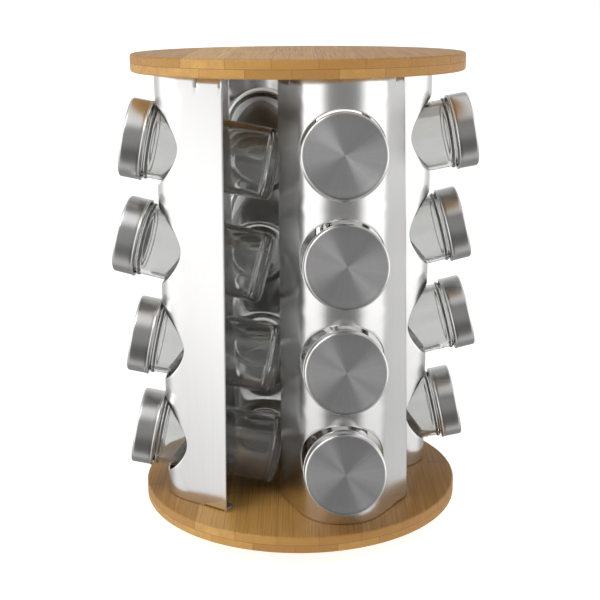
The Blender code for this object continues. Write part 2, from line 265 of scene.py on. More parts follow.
def bamboo_strips(shade, across, along, height):
    """Strips in two layers: each strip's tone, the marks at its knuckles, and the seams."""
    strip_width = 25 * MM
    knuckle_spacing = 170 * MM
    stagger = 0.43
    first_strip = 8.13
    layer = shade.math("GREATER_THAN", height, 0.0)
    shifted = shade.math("MULTIPLY_ADD", layer, stagger, first_strip)
    strips = shade.math("ADD", shade.math("DIVIDE", across, strip_width), shifted)
    seed = shade.vector(shade.math("FLOOR", strips), layer, 3.7)
    dice = shade.node("ShaderNodeTexWhiteNoise", {"Vector": seed}, noise_dimensions="3D")
    lottery = dice.outputs["Value"]
    tone = shade.ramp(lottery, (
        (0.0, (0.38, 0.180, 0.040)), (0.35, (0.47, 0.243, 0.058)),
        (0.7, (0.56, 0.310, 0.080)), (1.0, (0.69, 0.410, 0.128))))
    knuckles = shade.math("ADD", shade.math("DIVIDE", along, knuckle_spacing),
                          shade.math("MULTIPLY", lottery, 7.0))
    knuckle = shade.math("ABSOLUTE", shade.math("SUBTRACT", shade.math("FRACT", knuckles), 0.5))
    seam = shade.math("ABSOLUTE", shade.math("SUBTRACT", shade.math("FRACT", strips), 0.5))
    return tone, shade.remap(knuckle, 0.0, 0.012, 0.45, 0.0), shade.remap(seam, 0.4935, 0.498, 0.0, 0.7)


def bamboo_finish():
    """Two glued layers of bamboo strips that run front to back, lacquered.

    The object's origin is the disc's middle, so z = 0 is the glue line. The grain is fainter on
    the strips' ends, which face front and back.
    """
    shade = Shader("bamboo")
    across, along, height = shade.split(shade.place())
    tone, knuckle_mark, seam_line = bamboo_strips(shade, across, along, height)
    facing = shade.split(shade.node("ShaderNodeTexCoord").outputs["Normal"])[1]
    grain_shows = shade.remap(shade.math("ABSOLUTE", facing), 0.3, 1.0, 1.0, 0.25)
    broad = shade.noise((150, 6, 150), 2.0)
    tone = shade.mix(shade.remap(broad, 0.35, 0.65, 0.0, 0.5), tone, (0.43, 0.225, 0.056, 1.0))
    fibres = shade.noise((1500, 14, 1500), 3.0, 0.65)
    dark_lines = shade.math("MULTIPLY", shade.remap(fibres, 0.36, 0.50, 0.58, 0.0), grain_shows)
    tone = shade.mix(dark_lines, tone, (0.22, 0.095, 0.018, 1.0))
    pale = shade.noise((700, 9, 700), 2.0, 0.6)
    pale_lines = shade.math("MULTIPLY", shade.remap(pale, 0.55, 0.72, 0.0, 0.4), grain_shows)
    tone = shade.mix(pale_lines, tone, (0.62, 0.37, 0.15, 1.0))
    tone = shade.mix(knuckle_mark, tone, (0.20, 0.09, 0.028, 1.0))
    tone = shade.mix(seam_line, tone, (0.13, 0.055, 0.018, 1.0))
    glue = shade.remap(shade.math("ABSOLUTE", height), 0.05 * MM, 0.22 * MM, 0.7, 0.0)
    tone = shade.mix(glue, tone, (0.15, 0.07, 0.025, 1.0))
    shade.bump(shade.math("ADD", fibres, shade.math("MULTIPLY", seam_line, -0.8)), 0.05 * MM, 0.6)
    return shade.set(Base_Color=tone, Roughness=shade.remap(fibres, 0.3, 0.7, 0.54, 0.44),
                     Specular_IOR_Level=0.35, Coat_Weight=0.08, Coat_Roughness=0.2)


def brushed_finish(name, colour, roughness, anisotropy, turn, streaks, streak_depth):
    """Brushed stainless steel. The highlight spreads round the object's own Z axis, or along the
    axis where turn is a quarter."""
    shade = Shader(name)
    lines = shade.noise(streaks, 4.0, 0.7)
    cloud = shade.noise((22, 22, 22), 3.0)
    base = shade.tinted(colour, shade.remap(lines, 0.25, 0.75, 0.965, 1.015))
    rough = shade.math("ADD", shade.remap(lines, 0.3, 0.7, roughness - 0.02, roughness + 0.02),
                       shade.remap(cloud, 0.3, 0.7, -0.02, 0.02))
    shade.bump(lines, streak_depth, 0.5)
    return shade.set(Base_Color=base, Metallic=1.0, Roughness=rough, Anisotropic=anisotropy,
                     Anisotropic_Rotation=turn, Tangent=shade.round_axis())


def lid_face_finish():
    """A lid's face: turned on a lathe, so its fine lines run round the axis and catch the light
    in two opposite sectors. Its colour also carries painted sheen: faint spokes, lighter and
    darker at random round the axis, that stand in for that radial highlight."""
    shade = Shader("lid_steel_turned")
    x, y, z = shade.split(shade.place())
    radius = shade.math("SQRT", shade.math("ADD", shade.math("POWER", x, 2.0), shade.math("POWER", y, 2.0)))
    ring_place = shade.vector(shade.math("MULTIPLY", radius, 3200.0), shade.math("MULTIPLY", z, 2200.0))
    rings = shade.node("ShaderNodeTexNoise", {"Vector": ring_place, "Scale": 1.0, "Detail": 3.0})
    lines = rings.outputs["Fac"]
    # painted sheen: spokes of lighter and darker colour round the axis stand in for the turned face's
    # radial highlight
    around = shade.math("ARCTAN2", x, y)
    sheen_spoke_place = shade.vector(shade.math("COSINE", around), shade.math("SINE", around))
    painted_sheen_spokes = shade.node("ShaderNodeTexNoise", {"Vector": sheen_spoke_place, "Scale": 9.0, "Detail": 5.0})
    # the tint mixes the real turning lines with the painted sheen spokes
    tint = shade.math("ADD", shade.remap(lines, 0.25, 0.75, -0.03, 0.03),
                      shade.remap(painted_sheen_spokes.outputs["Fac"], 0.3, 0.7, 0.96, 1.03))
    base = shade.tinted((0.64, 0.63, 0.63), tint)
    rough = shade.remap(lines, 0.3, 0.7, 0.32, 0.38)
    return shade.set(Base_Color=base, Metallic=1.0, Roughness=rough, Anisotropic=0.93,
                     Anisotropic_Rotation=0.25, Tangent=shade.round_axis())


def glass_finish():
    """Clear moulded glass with the faint waviness of its mould."""
    shade = Shader("clear_glass")
    waves = shade.noise((60, 60, 45), 2.0)
    shade.bump(waves, 0.12 * MM, 0.35)
    tint = shade.mix(shade.remap(waves, 0.3, 0.7, 0.0, 1.0),
                     (0.74, 0.745, 0.73, 1.0), (0.765, 0.77, 0.755, 1.0))
    return shade.set(Base_Color=tint, Roughness=0.05, IOR=1.46, Transmission_Weight=0.92)


def zinc_finish():
    """Zinc-plated pressed steel with faint spangle."""
    shade = Shader("zinc_steel")
    spots = shade.noise((260, 260, 260), 3.0, 0.6)
    tone = shade.ramp(spots, ((0.3, (0.46, 0.47, 0.48)), (0.7, (0.62, 0.63, 0.64))))
    shade.bump(spots, 0.02 * MM, 0.4)
    return shade.set(Base_Color=tone, Metallic=1.0, Roughness=shade.remap(spots, 0.3, 0.7, 0.30, 0.46))


def rubber_finish(name, dark, light):
    """Matt moulded rubber."""
    shade = Shader(name)
    grain = shade.noise((900, 900, 900), 3.0, 0.6)
    tone = shade.ramp(grain, ((0.3, dark), (0.7, light)))
    shade.bump(grain, 0.04 * MM, 0.5)
    return shade.set(Base_Color=tone, Roughness=shade.remap(grain, 0.3, 0.7, 0.72, 0.88))


# -------- mesh helpers

def link(name, mesh, finish):
    """An object of this mesh, in the scene; the mesh gets the finish unless it has one."""
    made = bpy.data.objects.new(name, mesh)
    if not mesh.materials:
        mesh.materials.append(finish)
    bpy.context.scene.collection.objects.link(made)
    return made


def mesh_from(bm, name, sharp=40):
    """A mesh shaded smooth, with edges sharper than an angle in degrees left crisp."""
    bmesh.ops.recalc_face_normals(bm, faces=bm.faces)
    mesh = bpy.data.meshes.new(name)
    bm.to_mesh(mesh)
    bm.free()
    mesh.shade_smooth()
    mesh.set_sharp_from_angle(angle=math.radians(sharp))
    return mesh


def arc(centre, radius, start, end, steps):
    """Points (r, z) on an arc; angles in degrees, 0 pointing away from the axis and 90 up."""
    points = []
    for step in range(steps + 1):
        angle = math.radians(start + (end - start) * step / steps)
        points.append((centre[0] + radius * math.cos(angle), centre[1] + radius * math.sin(angle)))
    return points


def turn(bm, profile, segments, shape=None, closed=False):
    """Revolve (radius, height) points about Z. A point on the axis becomes one vertex.
    shape(angle, radius, height) may move a ring's points for threads and stipple."""
    rings = []
    for radius, height in profile:
        if radius < 1e-7:
            rings.append([bm.verts.new((0.0, 0.0, height))])
            continue
        ring = []
        for step in range(segments):
            angle = 2 * math.pi * step / segments
            r, z = shape(angle, radius, height) if shape else (radius, height)
            ring.append(bm.verts.new((r * math.cos(angle), r * math.sin(angle), z)))
        rings.append(ring)
    pairs = list(zip(rings, rings[1:]))
    if closed:
        pairs.append((rings[-1], rings[0]))
    for lower, upper in pairs:
        for step in range(segments):
            after = (step + 1) % segments
            if len(lower) == 1:
                bm.faces.new((lower[0], upper[step], upper[after]))
            elif len(upper) == 1:
                bm.faces.new((lower[step], lower[after], upper[0]))
            else:
                bm.faces.new((lower[step], lower[after], upper[after], upper[step]))


def turned_mesh(name, profile, segments, shape=None, closed=False, sharp=40):
    bm = bmesh.new()
    turn(bm, profile, segments, shape, closed)
    return mesh_from(bm, name, sharp)


def cut(target, bm, operation="DIFFERENCE", sharp=40):
    """Cut a bmesh's volume from an object, or join it, and keep the result as the object's mesh."""
    bmesh.ops.recalc_face_normals(bm, faces=bm.faces)
    tool_mesh = bpy.data.meshes.new("cutter")
    bm.to_mesh(tool_mesh)
    bm.free()
    tool = bpy.data.objects.new("cutter", tool_mesh)
    bpy.context.scene.collection.objects.link(tool)
    modifier = target.modifiers.new("cut", "BOOLEAN")
    modifier.object = tool
    modifier.operation = operation
    modifier.solver = "EXACT"
    settle(target, sharp)
    bpy.data.objects.remove(tool, do_unlink=True)


def settle(target, sharp=40):
    """Replace an object's mesh by what its modifiers make of it."""
    graph = bpy.context.evaluated_depsgraph_get()
    shaped = bpy.data.meshes.new_from_object(target.evaluated_get(graph))
    target.modifiers.clear()
    target.data = shaped
    shaped.shade_smooth()
    shaped.set_sharp_from_angle(angle=math.radians(sharp))


def add_peg(bm, place, radius, length):
    """A round peg centred on a place, for cutting holes."""
    bmesh.ops.create_cone(bm, cap_ends=True, segments=24, radius1=radius, radius2=radius,
                          depth=length, matrix=place)


def present(piece, body, slot, *nodes):
    """Hand a finished piece to the frame."""
    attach(piece, body)
    if nodes:
        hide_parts(*nodes)


# -------- wooden discs

def make_disc(node, finish, screw_level):
    """A lacquered disc with eased edges and blind pilot holes for the panels' screws."""
    low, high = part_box(node)
    radius, half = high.x, (high.z - low.z) / 2
    profile = [(0, -half)]
    profile += [(radius * part / 6, -half) for part in range(1, 6)]
    profile += arc((radius - DISC_EDGE, -half + DISC_EDGE), DISC_EDGE, -90, 0, 6)
    profile += arc((radius - DISC_EDGE, half - DISC_EDGE), DISC_EDGE, 0, 90, 6)
    profile += [(radius * part / 6, half) for part in range(5, 0, -1)]
    profile.append((0, half))
    disc = link(f"{node}_board", turned_mesh(f"{node}_board", profile, 256), finish)
    disc.location.z = (high.z + low.z) / 2
    bpy.context.view_layer.update()
    holes = bmesh.new()
    face = low.z if screw_level == "upper" else high.z
    for spot in screw_spots(screw_level):
        add_peg(holes, Matrix.Translation((spot.x, spot.y, face)), SCREW_HOLE_RADIUS, 2 * PILOT_DEPTH)
    cut(disc, holes)
    present(disc, "carousel", "bamboo", node)


def screw_spots(level):
    """Plan centres of the panels' screws at one level, read from the frame."""
    spots = []
    for side in SIDES:
        for number in (1, 2):
            low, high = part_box(f"screw_{side}_{level}_{number}")
            spots.append((low + high) / 2)
    return spots


# -------- steel panels

def wing_directions(wing, level):
    """Unit vectors along a wing and inwards; wing 0 is left and 1 right, level runs from 0 to 1."""
    foot, top = WING_ANGLES[wing]
    angle = foot + (top - foot) * level
    side = 2 * wing - 1
    along = Vector((side * math.cos(angle), math.sin(angle), 0))
    return along, Vector((-side * along.y, side * along.x, 0))


class Sheet:
    """A bent sheet's outer face, gathered as quads between points that are shared by position.

    A point is given by how far along the sheet it is from the lobe's middle, how deep behind the
    outer face, and how high.
    """

    def __init__(self, low, high):
        self.low, self.high = low, high
        self.bm = bmesh.new()
        self.known = {}

    def bend(self, along, depth, height):
        """Place of a point about the lobe's axis."""
        start, end = LOBE_ENDS
        angle = max(start, min(end, along / LOBE_RADIUS))
        out = Vector((math.sin(angle), -math.cos(angle), 0))
        beyond = along - angle * LOBE_RADIUS
        if abs(beyond) < 1e-9:
            return (LOBE_RADIUS - depth) * out + Vector((0, 0, height))
        level = (height - self.low) / (self.high - self.low)
        direction, inward = wing_directions(int(beyond > 0), level)
        return LOBE_RADIUS * out + abs(beyond) * direction + depth * inward + Vector((0, 0, height))

    def point(self, along, depth, height):
        key = (round(along * 1e6), round(depth * 1e6), round(height * 1e6))
        if key not in self.known:
            self.known[key] = self.bm.verts.new(self.bend(along, depth, height))
        return self.known[key]

    def quad(self, corners):
        self.bm.faces.new([self.point(*corner) for corner in corners])

    def rows(self, lines):
        """Quads between neighbouring lines of points."""
        for lower, upper in zip(lines, lines[1:]):
            for step in range(len(lower) - 1):
                self.quad((lower[step], lower[step + 1], upper[step + 1], upper[step]))


def spread(start, end, count):
    """Evenly spaced numbers, with count steps between the first and the last."""
    return [start + (end - start) * step / count for step in range(count + 1)]


def cell_ends():
    """How far the sheet round a hole reaches to the left and to the right, along the sheet."""
    return LOBE_RADIUS * LOBE_ENDS[0], LOBE_RADIUS * LOBE_ENDS[1] + CELL_PAST_LOBE


def wing_end(wing):
    """Distance of a wing's free edge from the lobe's middle, along the sheet."""
    return LOBE_RADIUS * abs(LOBE_ENDS[wing]) + WING_LENGTHS[wing]


def hole_edge(direction):
    """The hole's outline on the flat sheet: it is cut straight through the round lobe."""
    across = HOLE_RADIUS * math.cos(direction)
    return LOBE_RADIUS * math.asin(across / LOBE_RADIUS), HOLE_RADIUS * math.sin(direction)


def cell_border():
    """The rectangle of sheet round one hole, anticlockwise from its right lower corner."""
    left_end, right_end = cell_ends()
    half_high = ROW_PITCH / 2
    right = [(right_end, height) for height in spread(-half_high, half_high, STEPS_UP)]
    top = [(along, half_high) for along in spread(right_end, left_end, STEPS_ACROSS)]
    left = [(left_end, height) for height in spread(half_high, -half_high, STEPS_UP)]
    bottom = [(along, -half_high) for along in spread(left_end, right_end, STEPS_ACROSS)]
    return right[:-1] + top[:-1] + left[:-1] + bottom[:-1]


def add_cell(sheet, centre):
    """The sheet round one hole: rings of quads from the hole's edge to the cell's border."""
    left_end, right_end = cell_ends()
    border = cell_border()
    lines = []
    for along, height in border + border[:1]:
        reach = right_end if along > 0 else -left_end
        direction = math.atan2(height / (ROW_PITCH / 2), along / reach)
        edge_along, edge_height = hole_edge(direction)
        line = []
        for part in (0.0, 0.12, 0.35, 0.65, 1.0):
            line.append((edge_along + (along - edge_along) * part, 0.0,
                         centre + edge_height + (height - edge_height) * part))
        lines.append(line)
    sheet.rows(lines[::-1])


def wing_columns(wing):
    """Distances along a wing where the sheet's mesh has a column, and where its tab lies."""
    tab_middle = wing_end(wing) - TAB_FROM_EDGE
    tab_start, tab_end = tab_middle - TAB_WIDTH / 2, tab_middle + TAB_WIDTH / 2
    columns = spread(abs(cell_ends()[wing]), tab_start - RELIEF_WIDTH, 4)
    columns += spread(tab_start, tab_end, TAB_STEPS)
    columns += [tab_end + RELIEF_WIDTH, wing_end(wing)]
    return columns, tab_start, tab_end


def tab_path(edge, up):
    """(depth, height) points from a panel's edge through the bend to the tab's free end."""
    points = []
    for step in range(1, 9):
        angle = math.radians(90 * step / 8)
        drop = TAB_ROOTS[up] * (1 - math.sin(angle))
        points.append((TAB_BEND * (1 - math.cos(angle)), edge - up * drop))
    straight = TAB_REACH - TAB_CORNER
    points.append((straight, edge))
    for step in range(1, 7):
        points.append((straight + TAB_CORNER * math.sin(math.radians(15 * step)), edge))
    return points


def add_tab(sheet, side, tab_start, tab_end, edge, up):
    """One tab, bent in from the edge and rounded at its free corners."""
    middle, half = (tab_start + tab_end) / 2, TAB_WIDTH / 2
    straight = TAB_REACH - TAB_CORNER
    places = spread(tab_start, tab_end, TAB_STEPS)
    lines = [[(side * along, 0.0, edge - up * TAB_ROOTS[up]) for along in places]]
    for depth, height in tab_path(edge, up):
        past = max(0.0, depth - straight)
        width = half - TAB_CORNER + math.sqrt(max(0.0, TAB_CORNER ** 2 - past ** 2))
        share = width / half
        lines.append([(side * (middle + (along - middle) * share), depth, height) for along in places])
    if (side > 0) != (up > 0):
        lines = [line[::-1] for line in lines]
    sheet.rows(lines)


def add_wing(sheet, wing, heights):
    """A straight wing with its two tabs and the slots that free them."""
    columns, tab_start, tab_end = wing_columns(wing)
    side = 2 * wing - 1
    for bottom, top in zip(heights, heights[1:]):
        middle = (bottom + top) / 2
        up = 1 if middle > (sheet.low + sheet.high) / 2 else -1
        past_root = (sheet.high - middle if up > 0 else middle - sheet.low) - TAB_ROOTS[up]
        for inner, outer in zip(columns, columns[1:]):
            place = (inner + outer) / 2
            in_tab = tab_start < place < tab_end
            in_slot = not in_tab and tab_start - RELIEF_WIDTH < place < tab_end + RELIEF_WIDTH
            if (in_tab and past_root < 0) or (in_slot and past_root < RELIEF_PAST_ROOT):
                continue
            corners = [(side * inner, 0.0, bottom), (side * outer, 0.0, bottom),
                       (side * outer, 0.0, top), (side * inner, 0.0, top)]
            sheet.quad(corners if side > 0 else corners[::-1])
    add_tab(sheet, side, tab_start, tab_end, sheet.high, 1)
    add_tab(sheet, side, tab_start, tab_end, sheet.low, -1)


def fill_sheet(sheet, first_hole):
    """All of a panel's outer face: cells round the holes, strips above and below, and the wings."""
    low, high = sheet.low, sheet.high
    half_high = ROW_PITCH / 2
    centres = [first_hole + row * ROW_PITCH for row in range(ROWS)]
    for centre in centres:
        add_cell(sheet, centre)
    low_root, high_root = low + TAB_ROOTS[-1], high - TAB_ROOTS[1]
    below = [low, low_root, low_root + RELIEF_PAST_ROOT, centres[0] - half_high]
    above = [centres[-1] + half_high, high_root - RELIEF_PAST_ROOT, high_root, high]
    for heights in (below, above):
        sheet.rows([[(along, 0.0, height) for along in spread(*cell_ends(), STEPS_ACROSS)]
                    for height in heights])
    steps = spread(-half_high, half_high, STEPS_UP)[:-1]
    beside = [centre + step for centre in centres for step in steps]
    heights = below[:-1] + beside + above
    for wing in (0, 1):
        add_wing(sheet, wing, heights)


def solid_sheet(finish, low, high, first_hole):
    """Give the sheet its thickness, softened edges and screw holes."""
    sheet = Sheet(low, high)
    fill_sheet(sheet, first_hole)
    panel = link("panel_sheet", mesh_from(sheet.bm, "panel_sheet"), finish)
    thicken = panel.modifiers.new("thickness", "SOLIDIFY")
    thicken.thickness = SHEET
    thicken.offset = -1.0
    thicken.use_even_offset = True
    soften = panel.modifiers.new("edges", "BEVEL")
    soften.width = EDGE_BEVEL
    soften.segments = 2
    soften.limit_method = "ANGLE"
    soften.angle_limit = math.radians(50)
    settle(panel, 50)
    holes = bmesh.new()
    for wing in (0, 1):
        tab_middle = (2 * wing - 1) * (wing_end(wing) - TAB_FROM_EDGE)
        for height in (low, high):
            spot = sheet.bend(tab_middle, TAB_SCREW_DEPTH, height)
            add_peg(holes, Matrix.Translation(spot), SCREW_HOLE_RADIUS, 4 * MM)
    cut(panel, holes, sharp=50)
    return panel


def lobe_axis(low):
    """Plan place of the front lobe's axis, from the panel box's low corner: the left wing's free
    edge is the panel's leftmost line, and the lobe is its foremost."""
    along, _ = wing_directions(0, 0)
    reach = LOBE_RADIUS * math.sin(LOBE_ENDS[0]) + WING_LENGTHS[0] * along.x
    return Vector((low.x - reach, low.y + LOBE_RADIUS, 0))


def make_panels(finish):
    low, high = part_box("panel_front")
    base_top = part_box("base_disc")[1].z
    axis = lobe_axis(low)
    first = solid_sheet(finish, low.z, high.z, base_top + LOWEST_HOLE)
    for index, side in enumerate(SIDES):
        panel = link(f"panel_{side}_sheet", first.data, finish)
        panel.matrix_world = Matrix.Rotation(index * math.pi / 2, 4, "Z") @ Matrix.Translation(axis)
        present(panel, "carousel", "brushed_steel", f"panel_{side}")
    bpy.data.objects.remove(first, do_unlink=True)


# -------- screws

def screw_thread(angle, radius, height):
    """A wood screw's single thread, along its shank."""
    if not SCREW_THREAD_START <= height <= SCREW_LENGTH or radius > SCREW_SHANK + 0.1 * MM:
        return radius, height
    phase = (height / SCREW_THREAD_PITCH - angle / (2 * math.pi)) % 1.0
    ridge = max(0.0, 1.0 - abs(phase - 0.5) / 0.28)
    return radius * (1.0 + SCREW_THREAD_HEIGHT * ridge), height


def cut_recess(screw, top):
    """A cross recess in a screw's head, one slot at a time; the slots narrow as they go in."""
    for slot_angle in (0, math.pi / 2):
        recess = bmesh.new()
        made = bmesh.ops.create_cube(recess, size=1.0)["verts"]
        for vert in made:
            inside = vert.co.z > 0
            narrow = 0.55 if inside else 1.0
            vert.co.x *= RECESS_LENGTH * narrow
            vert.co.y *= RECESS_WIDTH * narrow
            vert.co.z = top + (RECESS_DEPTH if inside else -0.3 * MM)
        bmesh.ops.rotate(recess, verts=made, cent=(0, 0, 0), matrix=Matrix.Rotation(slot_angle, 3, "Z"))
        cut(screw, recess)


def make_screw(finish, head_profile, name):
    """A wood screw: its head, its threaded shank and its point. The head's seat is at z = 0."""
    point = SCREW_LENGTH - SCREW_POINT
    profile = list(head_profile)
    steps = 44
    for step in range(1, steps):
        height = SCREW_LENGTH * step / steps
        taper = 1.0 if height < point else (SCREW_LENGTH - height) / (SCREW_LENGTH - point)
        profile.append((SCREW_SHANK * max(taper, 0.08), height))
    profile.append((0, SCREW_LENGTH))
    screw = link(name, turned_mesh(name, profile, 32, screw_thread), finish)
    cut_recess(screw, head_profile[0][1])
    return screw


def make_panel_screws(finish):
    """Pan-head screws, up through the upper tabs and down through the lower ones."""
    rim = 0.35 * SCREW_HEAD_HEIGHT
    crown = SCREW_HEAD_HEIGHT - rim
    profile = [(0, -SCREW_HEAD_HEIGHT)]
    for step in range(1, 9):
        angle = math.radians(90 * step / 8)
        profile.append((SCREW_HEAD_RADIUS * math.sin(angle) ** 0.8, -rim - crown * math.cos(angle) ** 0.8))
    profile += [(SCREW_HEAD_RADIUS, 0.0), (SCREW_SHANK, 0.0)]
    shared = make_screw(finish, profile, "pan_head_screw")
    for side in SIDES:
        for level in ("upper", "lower"):
            for number in (1, 2):
                node = f"screw_{side}_{level}_{number}"
                low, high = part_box(node)
                centre = (low + high) / 2
                seat = low.z + SCREW_HEAD_HEIGHT if level == "upper" else high.z - SCREW_HEAD_HEIGHT
                flip = 0.0 if level == "upper" else math.pi
                piece = link(f"{node}_pan_head", shared.data, finish)
                piece.matrix_world = (Matrix.Translation((centre.x, centre.y, seat))
                                      @ Matrix.Rotation(flip, 4, "X"))
                present(piece, "carousel", "zinc_steel", node)
    bpy.data.objects.remove(shared, do_unlink=True)


# -------- jars and lids

def jar_shape(angle, radius, height):
    """Moulded detail of the glass: a stippled ring underneath, a screw thread on the neck."""
    if height < 0.6 * MM and STIPPLE_RING[0] < radius < STIPPLE_RING[1]:
        dimple = math.cos(STIPPLE_SPOKES * angle) * math.cos(2 * math.pi * radius / STIPPLE_PITCH)
        return radius, height + STIPPLE_DEPTH * (1 - dimple)
    if THREADED[0] < height < THREADED[1] and radius > NECK_RADIUS - 0.1 * MM:
        turns = (height - THREAD_START) / THREAD_PITCH - angle / (2 * math.pi)
        if 0.0 < turns < THREAD_TURNS:
            ridge = max(0.0, 1.0 - abs(turns % 1.0 - 0.5) / 0.24)
            ends = min(1.0, 6 * turns, 6 * (THREAD_TURNS - turns))
            return radius + THREAD_HEIGHT * ends * math.sin(ridge * math.pi / 2), height
    return radius, height


def glass_profile():
    """The jar's outside from underneath to its lip, then the inside back down."""
    inner = BODY_RADIUS - GLASS_WALL
    mouth = NECK_RADIUS - GLASS_WALL
    lip = GLASS_WALL / 2
    points = [(0, 1.4 * MM), (4 * MM, 1.35 * MM), (8 * MM, 1.1 * MM), (11 * MM, 0.7 * MM)]
    points += [(radius, 0.3 * MM) for radius in spread(12.3 * MM, 16.9 * MM, 12)]
    points += arc((BODY_RADIUS - HEEL, HEEL + 0.05 * MM), HEEL, -90, 0, 8)
    points += [(BODY_RADIUS, height) for height in spread(8 * MM, 70 * MM, 6)]
    points += [(BODY_RADIUS, 73.5 * MM), (BODY_RADIUS + 0.05 * MM, 74.4 * MM)]
    bead = (BEAD_TOP - BEAD_BOTTOM) / 2
    points += arc((BEAD_RADIUS - bead * 0.8, BEAD_BOTTOM + bead), bead * 0.8, -75, 75, 8)
    points += [(NECK_RADIUS + 0.25 * MM, BEAD_TOP + 0.15 * MM), (NECK_RADIUS, BEAD_TOP + 0.5 * MM)]
    points += [(NECK_RADIUS, height) for height in spread(79.2 * MM, 89.2 * MM, 40)]
    points += arc((NECK_RADIUS - lip, GLASS_LENGTH - lip), lip, 0, 180, 10)
    points += [(mouth, height) for height in spread(88 * MM, 77 * MM, 5)]
    points += [(mouth + (inner - mouth) * part, (77 - 65 * part) * MM) for part in spread(0.2, 1.0, 8)]
    points += arc((inner - 4 * MM, GLASS_FLOOR + 4 * MM), 4 * MM, 0, -90, 8)
    points += [(10 * MM, GLASS_FLOOR + 0.15 * MM), (5 * MM, GLASS_FLOOR + 0.4 * MM)]
    points.append((0, GLASS_FLOOR + 0.5 * MM))
    return points


def lid_shape(angle, radius, height):
    """Four lugs pressed into the lid's skirt, just above its curl, on the inside only."""
    inside = LID_RADIUS - LID_SHEET
    on_inside = inside - 0.3 * MM <= radius <= inside + 0.1 * MM
    from_middle = abs(height - LUG_MIDDLE)
    if not on_inside or from_middle > LUG_HALF_HEIGHT:
        return radius, height
    around = abs((angle / (math.pi / 2)) % 1.0 - 0.5)
    lug = max(0.0, 1.0 - around / LUG_HALF_WIDTH)
    rise = 1.0 - from_middle / LUG_HALF_HEIGHT
    return radius - LUG_DEPTH * math.sqrt(lug) * rise, height


def lid_profile():
    """The lid's face, crown, skirt and rolled curl, then its inside up to the ceiling."""
    inside = LID_RADIUS - LID_SHEET
    curl = CURL_HEIGHT / 2
    points = [(0, LID_TOP - 0.12 * MM)]
    points += [(radius, LID_TOP - 0.12 * MM) for radius in spread(3 * MM, 18 * MM, 5)]
    points += [(20.2 * MM, LID_TOP - 0.10 * MM), (21.2 * MM, LID_TOP - 0.02 * MM)]
    points += arc((LID_RADIUS - LID_CROWN, LID_TOP - LID_CROWN), LID_CROWN, 90, 0, 10)
    points += [(LID_RADIUS, height) for height in spread(88 * MM, 82 * MM, 4)]
    points += [(LID_RADIUS, 80.6 * MM), (LID_RADIUS - 0.12 * MM, 80.25 * MM)]
    points += arc((CURL_RADIUS - curl, LID_END + curl), curl, 60, -90, 9)
    points += arc((CURL_RADIUS - curl, LID_END + curl), curl, -100, -210, 6)
    points += [(inside, 80.6 * MM)]
    points += [(inside, height) for height in spread(80.9 * MM, 83.3 * MM, 8)]
    points += [(inside, 86 * MM), (inside, 89 * MM)]
    crown = LID_CROWN - LID_SHEET
    points += arc((inside - crown, LID_TOP - LID_SHEET - crown), crown, 0, 90, 6)
    points += [(14 * MM, LID_TOP - LID_SHEET - 0.1 * MM), (0, LID_TOP - LID_SHEET - 0.1 * MM)]
    return points


def liner_profile():
    """The soft disc inside the lid that seals on the glass lip."""
    low = GLASS_LENGTH + 0.03 * MM
    high = LID_TOP - LID_SHEET - 0.13 * MM
    return [(0, low), (17 * MM, low), (LINER_RADIUS - 0.2 * MM, low), (LINER_RADIUS, low + 0.15 * MM),
            (LINER_RADIUS, high - 0.1 * MM), (LINER_RADIUS - 0.1 * MM, high), (0, high)]


def jar_place(node, axis):
    """Frame of a jar, from the CAD jar's own points: +Z out along its axis, origin under the glass."""
    points = {tuple(round(value, 6) for value in vert.co) for vert in frame["nodes"][node].data.vertices}
    centre = sum((Vector(point) for point in points), Vector()) / len(points)
    lowest = min((Vector(point) - centre).dot(axis) for point in points)
    side = axis.cross(Vector((0, 0, 1))).normalized()
    across = axis.cross(side)
    turned_axes = Matrix((side, across, axis)).transposed().to_4x4()
    return Matrix.Translation(centre + lowest * axis) @ turned_axes


def make_jars(glass, steel, face_steel, seal):
    jar_mesh = turned_mesh("jar_glass", glass_profile(), JAR_SEGMENTS, jar_shape, sharp=75)
    lid_mesh = turned_mesh("lid_cap", lid_profile(), 128, lid_shape, sharp=75)
    for finish in (steel, face_steel):
        lid_mesh.materials.append(finish)
    for polygon in lid_mesh.polygons:
        if polygon.center.z > LID_TOP - 0.2 * MM:
            polygon.material_index = 1
    liner_mesh = turned_mesh("lid_liner", liner_profile(), 96)
    axes = {joint["child"]: Vector(joint["axis"]).normalized() for joint in frame["joints"]}
    for side in SIDES:
        for row in range(1, ROWS + 1):
            jar, lid = f"jar_{side}_{row}", f"lid_{side}_{row}"
            place = jar_place(jar, axes[jar])
            pieces = ((f"{jar}_glass", jar_mesh, glass, jar, "clear_glass", [jar]),
                      (f"{lid}_cap", lid_mesh, steel, lid, "lid_steel", [lid]),
                      (f"{lid}_liner", liner_mesh, seal, lid, "dark_rubber", []))
            for name, mesh, finish, body, slot, nodes in pieces:
                piece = link(name, mesh, finish)
                piece.matrix_world = place
                present(piece, body, slot, *nodes)


# -------- turntable

def race_groove(side, ball_height):
    """The round groove of a race, from its lower lip to its upper one."""
    reach = math.degrees(math.acos(GROOVE_LIP / GROOVE_RADIUS))
    centre = (BALL_CIRCLE, ball_height)
    if side > 0:
        return arc(centre, GROOVE_RADIUS, -reach, reach, 10)
    return arc(centre, GROOVE_RADIUS, 180 + reach, 180 - reach, 10)


